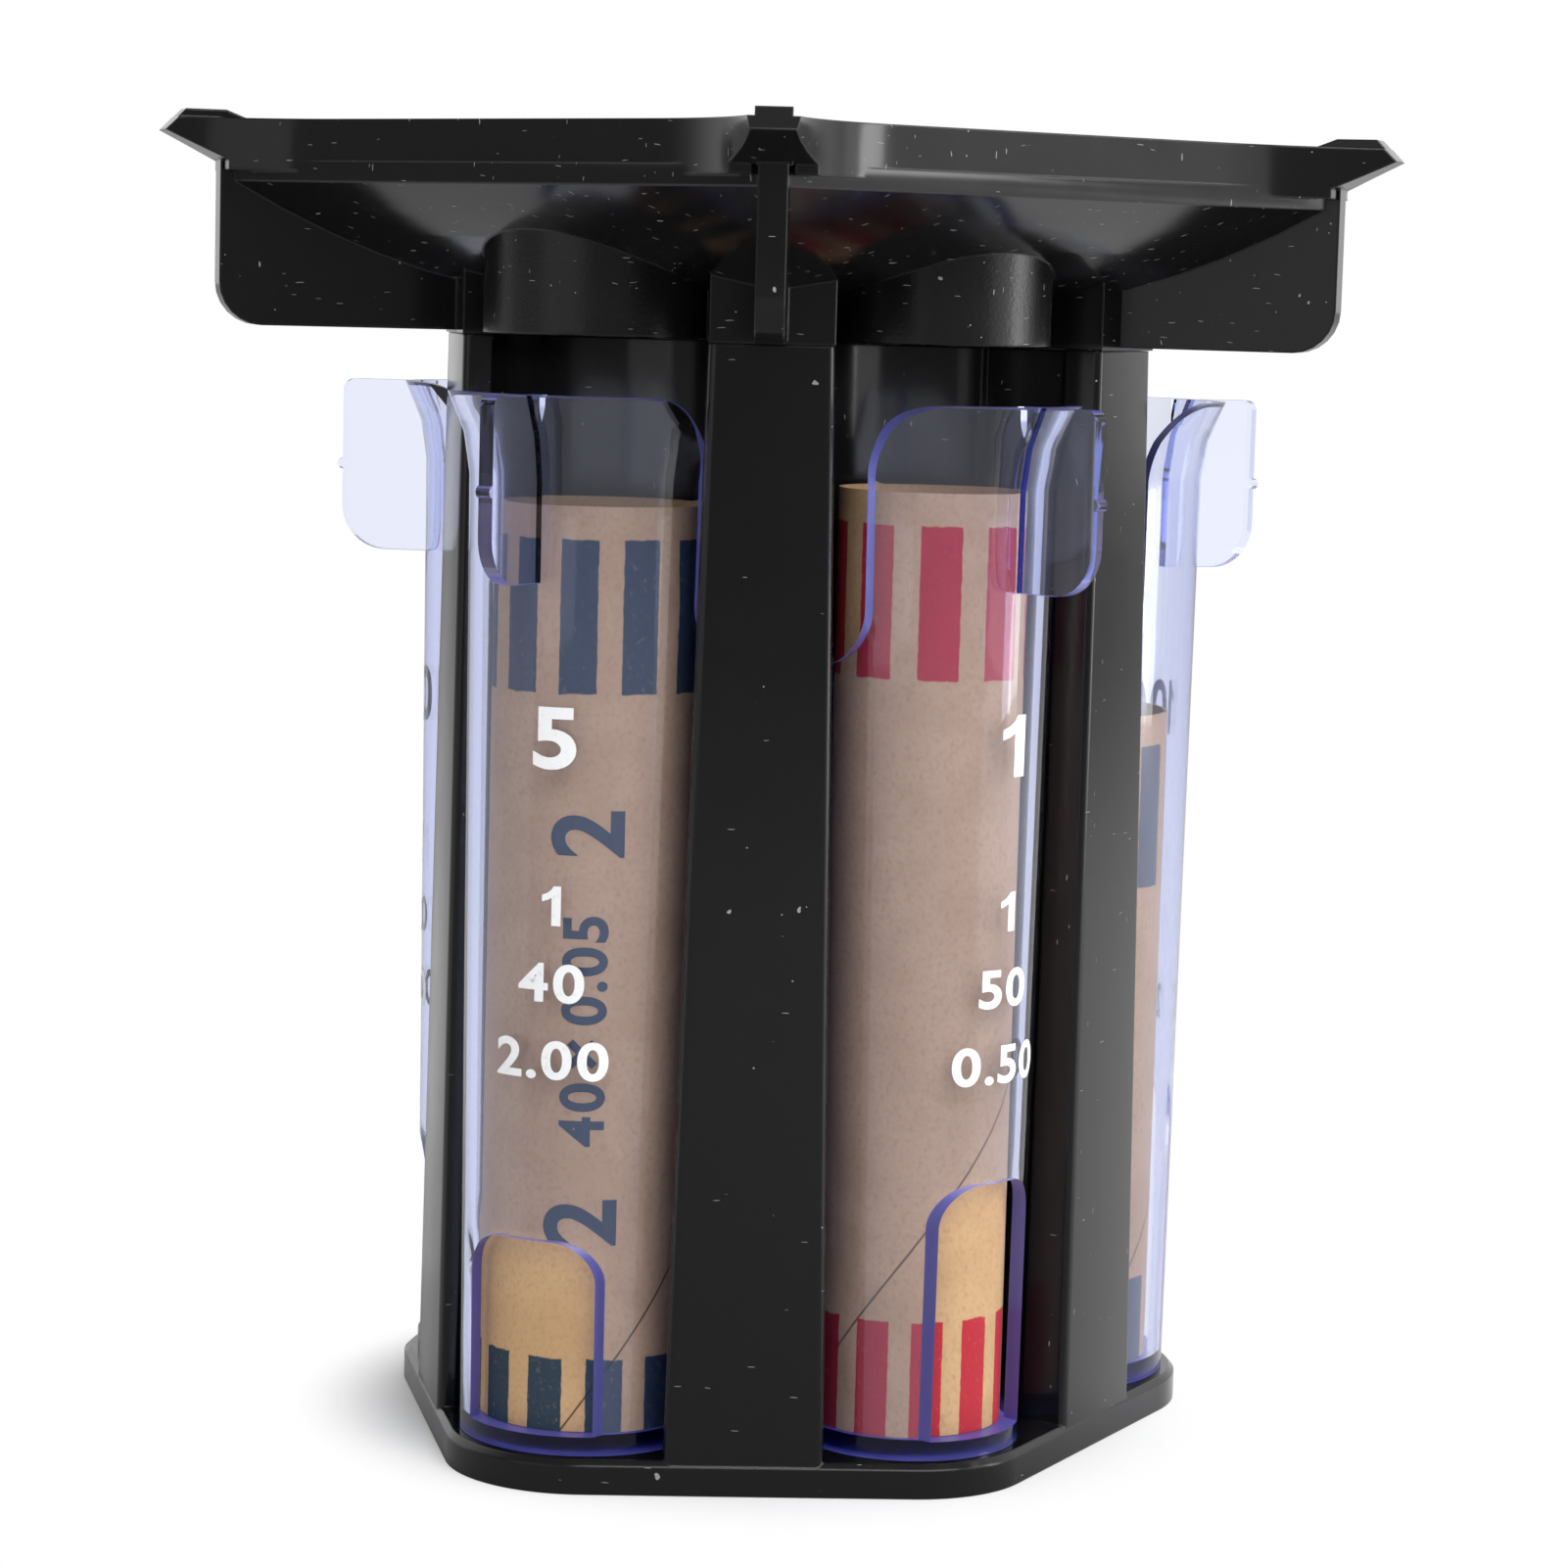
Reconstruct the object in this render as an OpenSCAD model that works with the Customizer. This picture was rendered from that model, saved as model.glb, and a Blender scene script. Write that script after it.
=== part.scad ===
// Coin sorting unit: a moulded stand with five pockets, five clear coin tubes with pull tabs,
// a paper coin wrapper in each tube, and a funnel tray that plugs onto the posts of the stand.
// The origin is on the stand's axis at its underside, +Z is up and -Y is the front post.

/* [Coins] */
// Diameter of a one cent coin
penny_d = 19.05; // [17:0.05:22]
// Diameter of a one dollar coin
dollar_d = 26.49; // [24:0.05:28]
// Diameter of a twenty-five cent coin
quarter_d = 24.26; // [22:0.05:27]
// Diameter of a ten cent coin
dime_d = 17.91; // [16:0.05:21]
// Diameter of a five cent coin
nickel_d = 21.21; // [19:0.05:24]

/* [Wrappers] */
// Length of the one cent wrapper
penny_wrap_h = 98.5; // [50:0.5:100]
// Length of the one dollar wrapper
dollar_wrap_h = 73; // [50:0.5:100]
// Length of the twenty-five cent wrapper
quarter_wrap_h = 88; // [50:0.5:100]
// Length of the ten cent wrapper
dime_wrap_h = 84; // [50:0.5:100]
// Length of the five cent wrapper
nickel_wrap_h = 96.3; // [50:0.5:100]
// Thickness of the rolled paper
paper_t = 0.35; // [0.25:0.05:0.6]
// Play between a coin and its wrapper, on the radius
coin_play = 0.05; // [0.02:0.01:0.3]
// Width of the crimped lip that closes a wrapper's lower end
crimp_w = 2; // [1:0.5:6]

/* [Tubes] */
// Height of a tube from its foot to its top rim
tube_h = 109.5; // [104:0.5:112]
// Wall of a tube
tube_wall = 1.5; // [1:0.1:2]
// Floor of a tube
tube_floor = 2; // [1.2:0.1:4]
// Play between a wrapper and the foot of its tube, on the radius
wrap_play = 0.5; // [0.3:0.05:1]
// Growth of a tube's radius from foot to rim
tube_draft = 0.8; // [0:0.1:1.2]
// Turn of the tubes about their own axes
tube_turn = 10; // [-10:1:12]
// Height of the lip that flares out at the rim
flare_h = 8.5; // [4:0.5:12]
// Reach of that lip beyond the wall
flare_out = 2.4; // [0.5:0.1:3]
// Depth of the open back below the rim
notch_h = 27; // [18:1:45]
// Distance from a tube's axis to the edge of its open back
notch_u = 2.3; // [1:0.1:8]
// Reach of the shield's sides beyond the wall, where they pass between two posts
side_out = 0.2; // [0.1:0.05:0.25]
// Radius of the shield's shoulders
shoulder_r = 8.5; // [4:0.5:10]
// Radius at the lower end of the open back
notch_r = 6; // [2:0.5:7]
// Height of the finger window above the floor, one cent tube
penny_window_h = 27; // [14:0.5:36]
// Height of the finger window above the floor, one dollar tube
dollar_window_h = 30; // [14:0.5:36]
// Height of the finger window above the floor, twenty-five cent tube
quarter_window_h = 28; // [14:0.5:36]
// Height of the finger window above the floor, ten cent tube
dime_window_h = 23; // [14:0.5:36]
// Height of the finger window above the floor, five cent tube
nickel_window_h = 20.5; // [14:0.5:36]
// Half angle that a finger window takes of its tube
window_half = 34.5; // [24:0.5:40]
// Radius of a finger window's upper corners
window_r = 4.5; // [2:0.5:5]

/* [Pull tabs] */
// Height of a pull tab
tab_h = 19; // [12:0.5:26]
// Reach of a pull tab beyond the tube's wall
tab_reach = 9.7; // [6:0.1:14]
// Thickness of a pull tab
tab_t = 1.6; // [1:0.1:2.5]
// Radius of a pull tab's lower outer corner
tab_low_r = 5; // [1:0.5:6]
// Radius of a pull tab's upper outer corner
tab_top_r = 1.2; // [0.5:0.1:3]
// Radius of the moulding gate's stub on a pull tab's edge
gate_r = 0.6; // [0.3:0.1:0.7]

/* [Stand] */
// Thickness of the base plate
base_t = 3.6; // [2.5:0.1:6]
// Edge of the base plate beyond the feet of the tubes
base_margin = 1.5; // [0.8:0.1:3]
// Height of the posts' tops above the underside
post_top = 118.8; // [117.5:0.1:126]
// Width of a post at its foot
post_foot_w = 16.8; // [13:0.1:18]
// Width of a post at its head
post_head_w = 12.8; // [10:0.1:14]
// Lean of a post's outer face towards the axis over its height
post_lean = 1.1; // [0:0.1:2]
// Depth of a post's tapered outer plate
post_plate = 5; // [3:0.1:6]
// Radius on the posts' upright edges
post_edge = 0.9; // [0.3:0.1:1.5]
// Chamfer round the top of the base plate
base_edge = 0.6; // [0.2:0.1:1.2]
// Set-back of the posts' outer faces from the edge of the base plate
post_inset = 0.15; // [0.05:0.05:0.5]
// Distance from the axis to the backs of the tubes
back_gap = 17; // [16:0.1:20]
// Play between a tube and its pocket, on the radius
pocket_play = 0.5; // [0.3:0.05:1]
// Wall between the pockets and the hollow core
core_wall = 2; // [1.2:0.1:3]

/* [Funnel tray] */
// Distance from the axis to the outer edges of the fins
fin_r = 61.7; // [58:0.1:66]
// Distance that the fins stand proud of the bowl's corners
fin_proud = 0.5; // [0.3:0.1:2]
// Thickness of a fin
fin_t = 2.9; // [1.5:0.1:4]
// Height of the fins' lower edges above the blocks' undersides
fin_lift = 0.3; // [0.1:0.1:1]
// Radius of a fin's lower outer corner
fin_corner_r = 4.5; // [1:0.5:8]
// Height of the bowl's outer edge above the posts
bowl_edge_h = 15.2; // [12:0.1:20]
// Height of the bowl's middle above the posts
bowl_mid_h = 2.2; // [1.5:0.1:5]
// Power of the bowl's curve from its middle to its edge
bowl_power = 2.7; // [1.5:0.1:3.5]
// Thickness of the bowl and its rim
bowl_t = 2; // [1.4:0.1:3]
// Height of the upright band round the bowl
band_h = 2.1; // [1.5:0.1:5]
// Height of the wall above the band
lip_h = 4.3; // [3:0.1:6]
// Set-back of that wall from the face of the band
lip_in = 0.4; // [0.2:0.1:1]
// Reach of the beaks beyond the fins
beak_out = 6; // [3:0.1:8]
// Height of the beaks above the wall
beak_h = 0.9; // [0.2:0.1:3]
// Thickness of a beak
beak_t = 3.6; // [3:0.1:6]
// Rise of a beak's underside from the fin to its tip
beak_rise = 3; // [1:0.1:4]
// Slope cut off a beak's upper corner
beak_slope = 2.3; // [0.5:0.1:3]
// Radius of the hollow curve from the wall to a beak
beak_curve = 25; // [8:1:40]
// Thickness of the dividers in the bowl
divider_t = 2; // [1.2:0.1:3]
// Play between a coin and the bore of its collar, on the radius
collar_play = 0.7; // [0.5:0.1:1.5]
// Wall of a collar
collar_wall = 1.3; // [1:0.1:1.8]
// Gap between the collars and the tops of the posts
collar_gap = 0.4; // [0.3:0.1:2]
// Depth of the blocks that stand on the posts
block_d = 10; // [7:0.5:12]
// Radius of the pegs that plug into the posts
peg_r = 2; // [1.2:0.1:2.5]
// Length of those pegs
peg_h = 6; // [3:0.5:10]
// Play of a peg in its hole, on the radius
peg_play = 0.2; // [0.1:0.05:0.4]

/* [Hidden] */
$fn = 72;

// Tubes in order round the stand, counter-clockwise from the front right one
PENNY = 0;
DOLLAR = 1;
QUARTER = 2;
DIME = 3;
NICKEL = 4;
tube_count = 5;
step_az = 360 / tube_count;
first_tube_az = -90 + step_az / 2;
coin_d = [penny_d, dollar_d, quarter_d, dime_d, nickel_d];
wrap_h = [penny_wrap_h, dollar_wrap_h, quarter_wrap_h, dime_wrap_h, nickel_wrap_h];
window_h = [penny_window_h, dollar_window_h, quarter_window_h, dime_window_h, nickel_window_h];

seat_gap = 0.05;
cut = 1;
slice_t = 0.1;
tube_z = base_t + seat_gap;
wrap_z = tube_z + tube_floor + seat_gap;
tray_z = post_top + seat_gap;

function wrap_r(i) = coin_d[i] / 2 + coin_play + paper_t;
function bore_r(i) = wrap_r(i) + wrap_play;
function foot_r(i) = bore_r(i) + tube_wall;
function rim_r(i) = foot_r(i) + tube_draft;
function pocket_r(i) = rim_r(i) + pocket_play;
function base_r(i) = foot_r(i) + base_margin;
function tube_az(i) = first_tube_az + step_az * i;
function polar(r, az) = [r * cos(az), r * sin(az)];
function tube_at(i) = polar(foot_r(i) + back_gap, tube_az(i));
function collar_r(i) = coin_d[i] / 2 + collar_play;

// Straight edge of the base between tube j and the next: it is tangent to both corner circles
function next(j) = (j + 1) % tube_count;
function edge_run(j) = tube_at(next(j)) - tube_at(j);
function edge_az(j) = atan2(edge_run(j)[1], edge_run(j)[0])
  - acos((base_r(j) - base_r(next(j))) / norm(edge_run(j)));
function edge_ap(j) = tube_at(j) * polar(1, edge_az(j)) + base_r(j);
function post_az(j) = first_tube_az + step_az * (j + 0.5);
function post_at(j) = polar(edge_ap(j) / cos(post_az(j) - edge_az(j)), post_az(j));

pocket_back = back_gap - tube_draft - pocket_play;
core_hollow_r = pocket_back - core_wall;
core_r = pocket_back + 9;
post_depth = min([for (j = [0 : tube_count - 1]) edge_ap(j)]) - core_hollow_r - core_wall;
peg_back = block_d / 2 + post_lean;

// Height of the bowl's underside where a ring of the five-sided bowl has corner radius r
function bowl_z(r) = tray_z + bowl_mid_h + (bowl_edge_h - bowl_mid_h) * pow(r / bowl_r, bowl_power);
bowl_rings = 12;
bowl_r = fin_r - fin_proud;
bowl_radii = [for (k = [0 : bowl_rings]) bowl_r * k / bowl_rings];
band_z = tray_z + bowl_edge_h + band_h;
lip_z = band_z + lip_h;
beak_z = lip_z + beak_h;
beak_r = fin_r + beak_out;
rim_in = bowl_t / cos(step_az / 2);

module at_tube(i) {
  translate([tube_at(i)[0], tube_at(i)[1], 0])
    rotate(tube_az(i)) children();
}

module at_post(j) {
  translate([post_at(j)[0], post_at(j)[1], 0])
    rotate(edge_az(j)) children();
}

// Base plate: round corners under the tubes, joined by their common tangents
module base_plate() {
  hull()
    for (i = [0 : tube_count - 1])
      translate([tube_at(i)[0], tube_at(i)[1], 0]) {
        cylinder(r = base_r(i), h = base_t - base_edge);
        cylinder(r = base_r(i) - base_edge, h = base_t);
      }
}

// One level of a post's outer plate, with round upright edges
module plate_slice(w, back) {
  for (x = [-post_plate, -back - post_edge], side = [-1, 1])
    translate([x, side * (w / 2 - post_edge), 0])
      cylinder(r = post_edge, h = slice_t, $fn = 24);
}

// A post: a plate that narrows and leans in towards its head, on a straight web from the core
module post(j) {
  web_w = post_head_w - 2 * post_edge;
  at_post(j) {
    hull() {
      plate_slice(post_foot_w, post_inset);
      translate([0, 0, post_top - slice_t]) plate_slice(post_head_w, post_inset + post_lean);
    }
    hull()
      for (z = [0, post_top - slice_t])
        translate([-post_depth, -web_w / 2, z]) cube([post_depth - post_plate / 2, web_w, slice_t]);
  }
}

// Room for a tube in plan: its round back and the way out between two posts
module pocket_plan(i) {
  at_tube(i) {
    circle(pocket_r(i), $fn = 120);
    translate([0, -pocket_r(i)]) square([2 * fin_r, 2 * pocket_r(i)]);
  }
}

module tower() {
  color([0.03, 0.03, 0.035])
    difference() {
      union() {
        base_plate();
        cylinder(r = core_r, h = post_top);
        for (j = [0 : tube_count - 1]) post(j);
      }
      translate([0, 0, base_t])
        linear_extrude(post_top) {
          for (i = [0 : tube_count - 1]) pocket_plan(i);
          circle(core_hollow_r);
        }
      for (j = [0 : tube_count - 1])
        at_post(j)
          translate([-peg_back, 0, post_top - peg_h - cut])
            cylinder(r = peg_r + peg_play, h = peg_h + 2 * cut, $fn = 32);
    }
}

// A profile carried round the axis with its corners at the fins
module five_sided() {
  rotate(post_az(0)) rotate_extrude(angle = 360, start = 0, $fn = tube_count) children();
}

// Five-sided bowl with its upright band, as one profile carried round the axis
module bowl_shell() {
  under = [for (r = bowl_radii) [r, bowl_z(r)]];
  over = [for (k = [bowl_rings - 1 : -1 : 0]) [bowl_radii[k], bowl_z(bowl_radii[k]) + bowl_t]];
  rim = [
    [bowl_r, band_z],
    [bowl_r - rim_in, band_z],
    [bowl_r - rim_in, bowl_z(bowl_r - rim_in) + bowl_t]
  ];
  shown = [for (p = over) if (p[0] < bowl_r - rim_in) p];
  five_sided() polygon(concat(under, rim, shown));
}

// Plan of the wall's outside: five straight sides that curve out into a beak at each corner
module lip_plan() {
  offset(r = -beak_curve)
    offset(delta = beak_curve) {
      rotate(post_az(0)) circle(bowl_r - lip_in / cos(step_az / 2), $fn = tube_count);
      for (j = [0 : tube_count - 1])
        rotate(post_az(j)) translate([0, -beak_t / 2]) square([beak_r, beak_t]);
    }
}

// Wall above the band, open inside, with the beaks' undersides and upper corners cut to a slope
module lip_wall() {
  slope_r = fin_r - fin_proud / 2;
  difference() {
    union() {
      translate([0, 0, band_z - cut])
        linear_extrude(lip_h + cut)
          difference() {
            lip_plan();
            offset(delta = -bowl_t) lip_plan();
          }
      for (j = [0 : tube_count - 1]) rotate(post_az(j)) upright_plate(beak_t) beak_profile();
    }
    rotate_extrude()
      polygon([
        [slope_r, band_z - 2 * cut], [slope_r, band_z], [beak_r, band_z + beak_rise],
        [beak_r + cut, band_z + beak_rise], [beak_r + cut, band_z - 2 * cut]
      ]);
    rotate_extrude()
      polygon([[beak_r - beak_slope, beak_z + cut], [beak_r - beak_slope, beak_z],
        [beak_r, beak_z - beak_slope], [beak_r + cut, beak_z - beak_slope], [beak_r + cut, beak_z + cut]]);
  }
}

// Space under the middle of the bowl's wall, which trims what hangs from it
module below_bowl() {
  line = [for (r = bowl_radii) [r, bowl_z(r) + bowl_t / 2]];
  five_sided() polygon(concat(line, [[bowl_r, tray_z - 2 * peg_h], [0, tray_z - 2 * peg_h]]));
}

// A fin from the hollow core to its outer edge, with its lower outer corner rounded
module fin_profile() {
  root_r = bowl_r - rim_in / 2;
  outer_radii = [for (k = [bowl_rings - 1 : -1 : 0]) if (bowl_radii[k] > core_hollow_r) bowl_radii[k]];
  wall_line = [for (r = concat([root_r], outer_radii)) [r, bowl_z(r) + bowl_t / 2]];
  fin_z = tray_z + fin_lift;
  corner = [fin_r - fin_corner_r, fin_z + fin_corner_r];
  round = [for (a = [-90 : 15 : 0]) corner + polar(fin_corner_r, a)];
  top = [[fin_r, band_z + cut / 2], [root_r, band_z + cut / 2]];
  polygon(concat([[core_hollow_r, fin_z]], round, top, wall_line));
}

module divider_profile() {
  wall_line = [for (r = bowl_radii) if (r < bowl_r - rim_in) [r, bowl_z(r) + bowl_t / 2]];
  root_r = bowl_r - rim_in / 2;
  root = [[root_r, bowl_z(root_r) + bowl_t / 2], [root_r, lip_z]];
  polygon(concat(wall_line, root, [[0, tray_z + bowl_mid_h + 2 * bowl_t]]));
}

module beak_profile() {
  root_r = bowl_r - 2 * rim_in;
  polygon([[root_r, band_z], [beak_r, band_z], [beak_r, beak_z], [bowl_r, beak_z], [root_r, lip_z - cut]]);
}

module upright_plate(thick) {
  rotate([90, 0, 0]) linear_extrude(thick, center = true) children();
}

module collar(i) {
  at_tube(i)
    translate([0, 0, post_top + collar_gap])
      cylinder(r = collar_r(i) + collar_wall, h = bowl_edge_h);
}

module block(j) {
  at_post(j) {
    translate([-post_lean - block_d, -post_head_w / 2, tray_z])
      cube([block_d, post_head_w, bowl_edge_h]);
    translate([-peg_back, 0, tray_z - peg_h]) cylinder(r = peg_r, h = peg_h + cut);
  }
}

module funnel_tray() {
  color([0.035, 0.035, 0.04])
    difference() {
      union() {
        bowl_shell();
        intersection() {
          below_bowl();
          union() {
            for (i = [0 : tube_count - 1]) collar(i);
            for (j = [0 : tube_count - 1]) block(j);
          }
        }
        for (j = [0 : tube_count - 1])
          rotate(post_az(j)) {
            upright_plate(fin_t) fin_profile();
            upright_plate(divider_t) divider_profile();
          }
        lip_wall();
      }
      for (i = [0 : tube_count - 1])
        at_tube(i)
          translate([0, 0, post_top]) rotate(180) cylinder(r = collar_r(i), h = lip_z);
    }
}

// Wall of a tube as a closed profile, with the flare at its rim
module tube_profile(i) {
  flare_z = tube_h - flare_h;
  lean = tube_draft * flare_z / tube_h;
  polygon([
    [0, 0], [foot_r(i), 0],
    [foot_r(i) + lean, flare_z],
    [rim_r(i) + flare_out / 4, flare_z + flare_h / 2],
    [rim_r(i) + flare_out, tube_h],
    [rim_r(i) + flare_out - tube_wall, tube_h],
    [rim_r(i) + flare_out / 4 - tube_wall, flare_z + flare_h / 2],
    [bore_r(i) + lean, flare_z],
    [bore_r(i), tube_floor], [0, tube_floor]
  ]);
}

// Side view of what the open back takes away: u runs outwards and z up from the foot
module open_back_profile(i) {
  reach = rim_r(i) + flare_out;
  low = tube_h - notch_h;
  shoulder_u = notch_u + shoulder_r;
  difference() {
    union() {
      translate([-2 * reach, low]) square([2 * reach + notch_u, notch_h + cut]);
      translate([notch_u - cut, tube_h - shoulder_r]) square([shoulder_r + cut, shoulder_r + cut]);
    }
    translate([shoulder_u, tube_h - shoulder_r]) circle(shoulder_r);
    difference() {
      translate([notch_u - notch_r, low - cut]) square([notch_r + cut, notch_r + cut]);
      translate([notch_u - notch_r, low + notch_r]) circle(notch_r);
      translate([notch_u - 2 * notch_r, low + notch_r]) square(2 * notch_r);
    }
  }
}

// Front view of a finger window: upright sides and round upper corners
module window_profile(i) {
  half = foot_r(i) * sin(window_half);
  translate([-half, tube_floor]) square([2 * half, window_h[i] - window_r]);
  translate([window_r - half, tube_floor]) square([2 * (half - window_r), window_h[i]]);
  for (side = [-1, 1])
    translate([side * (half - window_r), tube_floor + window_h[i] - window_r]) circle(window_r);
}

// Waste beside a flared shield, so that it slides out between two posts
module beside_shield(i) {
  size = 4 * rim_r(i);
  translate([-size / 2, rim_r(i) + side_out, tube_h - 2 * flare_h]) cube([size, size, 3 * flare_h]);
}

module tab_profile(i) {
  root = rim_r(i) - tube_wall / 2;
  tip = rim_r(i) + tab_reach;
  low = tube_h - tab_h;
  difference() {
    translate([root, low]) square([tip - root, tab_h]);
    translate([tip - tab_low_r, low]) corner_cut(tab_low_r, -90);
    translate([tip - tab_top_r, tube_h - tab_top_r]) corner_cut(tab_top_r, 0);
  }
  translate([tip, low + tab_h / 2]) circle(gate_r);
}

// The waste outside a rounded corner of a plate
module corner_cut(r, turn) {
  lift = turn < 0 ? r : 0;
  translate([0, lift])
    rotate(turn)
      difference() {
        square(r + cut);
        circle(r);
      }
}

module coin_tube(i) {
  color([0.72, 0.76, 0.95, 0.4])
    translate([0, 0, tube_z])
      at_tube(i) {
        difference() {
          rotate(tube_turn)
            difference() {
              rotate_extrude() tube_profile(i);
              upright_plate(4 * rim_r(i)) open_back_profile(i);
              rotate([90, 0, 90]) linear_extrude(2 * rim_r(i)) window_profile(i);
            }
          for (turn = [0, 180]) rotate(turn) beside_shield(i);
        }
        rotate(tube_turn) upright_plate(tab_t) tab_profile(i);
      }
}

module coin_wrapper(i) {
  r = wrap_r(i);
  color([0.62, 0.46, 0.31])
    translate([0, 0, wrap_z])
      at_tube(i)
        rotate_extrude()
          polygon([
            [r - crimp_w, 0], [r, 0], [r, wrap_h[i]], [r - paper_t, wrap_h[i]],
            [r - paper_t, 2 * paper_t], [r - crimp_w, paper_t]
          ]);
}

tower();
funnel_tray();
coin_tube(PENNY);  // penny_tube
coin_tube(DOLLAR);  // dollar_tube
coin_tube(QUARTER);  // quarter_tube
coin_tube(DIME);  // dime_tube
coin_tube(NICKEL);  // nickel_tube
coin_wrapper(PENNY);  // penny_wrapper
coin_wrapper(DOLLAR);  // dollar_wrapper
coin_wrapper(QUARTER);  // quarter_wrapper
coin_wrapper(DIME);  // dime_wrapper
coin_wrapper(NICKEL);  // nickel_wrapper
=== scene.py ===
"""Dresses the coin sorting unit: black mouldings, clear tubes, paper wrappers, plain numbers and a pale stage."""

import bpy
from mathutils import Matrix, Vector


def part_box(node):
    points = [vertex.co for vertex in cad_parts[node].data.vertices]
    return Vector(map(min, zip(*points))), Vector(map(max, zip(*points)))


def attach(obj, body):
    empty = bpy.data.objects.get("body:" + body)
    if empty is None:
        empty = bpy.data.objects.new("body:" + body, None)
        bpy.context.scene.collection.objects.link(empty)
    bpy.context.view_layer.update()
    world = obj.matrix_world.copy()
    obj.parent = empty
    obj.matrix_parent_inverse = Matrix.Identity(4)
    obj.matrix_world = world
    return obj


bl_info = {
    "name": "Coin sorting unit",
    "version": (1, 0, 0),
    "blender": (4, 5, 0),
    "location": "View3D > Sidebar > Coin unit",
    "description": "Finishes of the stand, tray, tubes and wrappers, their printed numbers, and the stage",
    "category": "Object",
}

import math

import bmesh
import bpy
from bpy.props import FloatProperty, FloatVectorProperty, PointerProperty
from bpy.types import Operator, Panel, PropertyGroup
from mathutils import Matrix, Vector
from mathutils.bvhtree import BVHTree

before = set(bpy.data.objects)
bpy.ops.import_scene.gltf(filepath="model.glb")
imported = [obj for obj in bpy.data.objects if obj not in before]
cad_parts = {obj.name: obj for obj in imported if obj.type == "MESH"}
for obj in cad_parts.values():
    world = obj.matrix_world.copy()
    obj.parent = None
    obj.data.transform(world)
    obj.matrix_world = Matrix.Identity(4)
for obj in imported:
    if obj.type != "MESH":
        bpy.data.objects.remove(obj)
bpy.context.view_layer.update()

MM = 0.001
COINS = ("penny", "dollar", "quarter", "dime", "nickel")
MOULDINGS = ("tower", "funnel_tray")

# Outward direction of each tube round the stand, in degrees
TUBE_AZ = {coin: -54 + 72 * i for i, coin in enumerate(COINS)}
# Turn of the tubes and their pull tabs from that direction
TUBE_TURN = 10
# Plain numbers printed down each tube: the coin, one roll, coins in a roll, sum of a roll
TUBE_NUMBERS = {
    "penny": ("1", "1", "50", "0.50"),
    "dollar": ("100", "1", "25", "25.00"),
    "quarter": ("25", "1", "40", "10.00"),
    "dime": ("10", "1", "50", "5.00"),
    "nickel": ("5", "1", "40", "2.00"),
}
# Plain numbers printed up each wrapper: sum, coins times value, sum
WRAPPER_NUMBERS = {
    "penny": ("50", "50 × 0.01", "50"),
    "dollar": ("25", "25 × 1.00", "25"),
    "quarter": ("10", "40 × 0.25", "10"),
    "dime": ("5", "50 × 0.10", "5"),
    "nickel": ("2", "40 × 0.05", "2"),
}
# Turn of the print from the tube's outward direction, in degrees
TUBE_PRINT_TURN = {"penny": 9, "dollar": 10, "quarter": 10, "dime": 10, "nickel": 21}
WRAPPER_PRINT_TURN = {"penny": 150, "dollar": 36, "quarter": 36, "dime": 36, "nickel": 36}
# Azimuth of a bar's middle in the top row and in the bottom row, in degrees, and the bars in each row
BAR_AZ = {"penny": (-86, -80), "dollar": (20, 20), "quarter": (90, 90), "dime": (160, 160), "nickel": (-97, -108)}
BAR_COUNT = {"penny": (9, 11), "dollar": (13, 13), "quarter": (12, 12), "dime": (9, 11), "nickel": (11, 11)}
# Height of the bottom row above a wrapper's lower end, in metres
LOW_BAR = {"penny": 0.0122, "dollar": 0.0095, "quarter": 0.0095, "dime": 0.0095, "nickel": 0.0077}
# Azimuth and height of a point on the slanted lap of each wrapper, in degrees and metres
LAP_POINT = {
    "penny": (-96, 0.0244), "dollar": (0, 0.03), "quarter": (70, 0.03), "dime": (150, 0.03), "nickel": (-55, 0.0176),
}

# Printed figures: half thickness and lift above the wall, longest edge before it is bent
INK_HALF = 0.012 * MM
INK_LIFT = 0.03 * MM
LONGEST_EDGE = 0.9 * MM
# Their weight and spacing, in the font's own units, and the outline of a 1 with its flag
BOLDNESS = 0.026
FIGURE_GAP = 0.085
WORD_GAP = 0.16
FIGURE_ONE = (
    (0.30, 0.0), (0.30, 0.74), (0.185, 0.74), (0.15, 0.672), (0.085, 0.61), (0.0, 0.57),
    (0.0, 0.445), (0.09, 0.48), (0.155, 0.525), (0.155, 0.0),
)
# How round their curves are, half thickness and weld before they are set, and passes that split long edges
FIGURE_STEPS = 6
FIGURE_HALF = 0.004
FIGURE_WELD = 1e-5
SPLIT_PASSES = 3

WHITE = (1, 1, 1, 1)
# Corners closer than this are one corner for the shading
WELD = 0.002 * MM

# Black plastic: details per metre of its waves, smudges and grain, and of what bends the fibres
WAVE_SCALE = 70
SMUDGE_SCALE = 210
GRAIN_SCALE = 2600
BEND_SCALE = 400
# Largest speck and fibre as shares of their cells, and how far the fibres bend, in metres
SPECK_SIZE = 0.075
FIBRE_SIZE = 0.12
FIBRE_BEND = (0.0006, 0.0006, 0.0006)
# Two sets of fibres: cells per metre along each axis, and turn
FIBRES = (((300, 3000, 300), (0.4, 0.9, 0.5)), ((260, 260, 3400), (0.9, 0.7, 1.1)))
# What smudges and dust add to the roughness
SMUDGE_ROUGH = 0.1
DUST_ROUGH = 0.4
# Relief: depth and strength of the waves, depth of the grain and its strength on collars and on polished faces
WAVE_DEPTH = 0.25 * MM
WAVE_STRENGTH = 0.12
GRAIN_DEPTH = 0.1 * MM
COLLAR_GRAIN = 0.3
POLISH_GRAIN = 0.012
EDGE_SAMPLES = 6
BLACK_IOR = 1.49
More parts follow.
